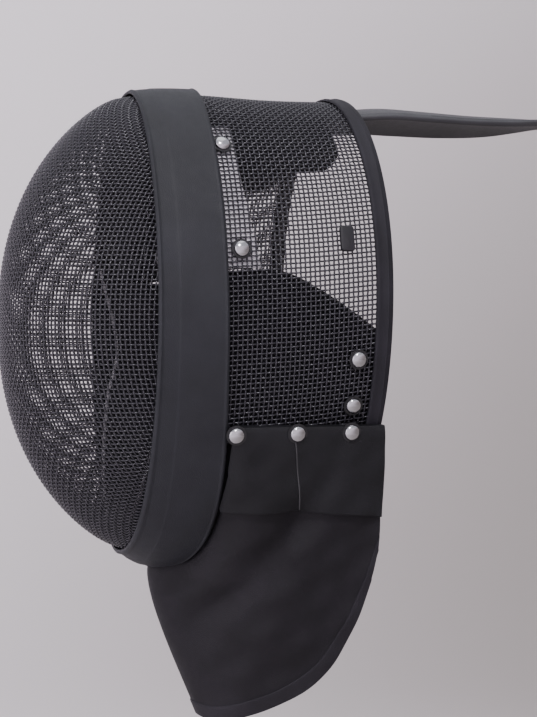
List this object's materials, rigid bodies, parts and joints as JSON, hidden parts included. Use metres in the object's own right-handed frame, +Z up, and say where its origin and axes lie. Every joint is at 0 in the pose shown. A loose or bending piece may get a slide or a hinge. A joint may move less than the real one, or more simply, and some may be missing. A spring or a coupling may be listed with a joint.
{
  "type": "fencing mask",
  "caption": "Fencing mask: woven wire face dome and side wrap joined by a wide leather band, with hanging bib, rear tongue, riveted straps and inner pads.",
  "frame": {"origin": "the seat of the head: the underside of the crown pad on the centre plane, where the mask rests on the top of the head", "axes": "+Z up, -Y the way the wearer looks, +X to the wearer's left"},
  "size_m": [0.2086, 0.386, 0.4115],
  "materials": {
    "wire_mesh": "satin charcoal enamel on woven steel wire",
    "trim_leather": "smooth charcoal leather, faint grain, satin",
    "binding_tape": "tightly woven charcoal binding tape",
    "bib_leather": "smooth black leather, fine grain, satin",
    "tongue_cover": "grey coated leather over a spring strip",
    "padding": "black brushed knit over foam",
    "white_strap": "white webbing",
    "clip_plastic": "moulded black plastic",
    "rivet_steel": "bright domed steel"
  },
  "bodies": {
    "root": {"front_mesh": "wire_mesh", "side_mesh": "wire_mesh", "seam_band": "trim_leather", "rear_binding": "binding_tape", "bib": "bib_leather", "tongue": "tongue_cover", "crown_pad": "padding", "jaw_pad": "padding", "bib_collar_left": "bib_leather", "inner_strap_left": "white_strap", "strap_clip_left": "clip_plastic", "rivet_strap_top_left": "rivet_steel", "rivet_strap_bottom_left": "rivet_steel", "rivet_rear_upper_left": "rivet_steel", "rivet_rear_lower_left": "rivet_steel", "rivet_bib_front_left": "rivet_steel", "rivet_bib_middle_left": "rivet_steel", "rivet_bib_rear_left": "rivet_steel", "bib_collar_right": "bib_leather", "inner_strap_right": "white_strap", "strap_clip_right": "clip_plastic", "rivet_strap_top_right": "rivet_steel", "rivet_strap_bottom_right": "rivet_steel", "rivet_rear_upper_right": "rivet_steel", "rivet_rear_lower_right": "rivet_steel", "rivet_bib_front_right": "rivet_steel", "rivet_bib_middle_right": "rivet_steel", "rivet_bib_rear_right": "rivet_steel"}
  },
  "joints": []
}
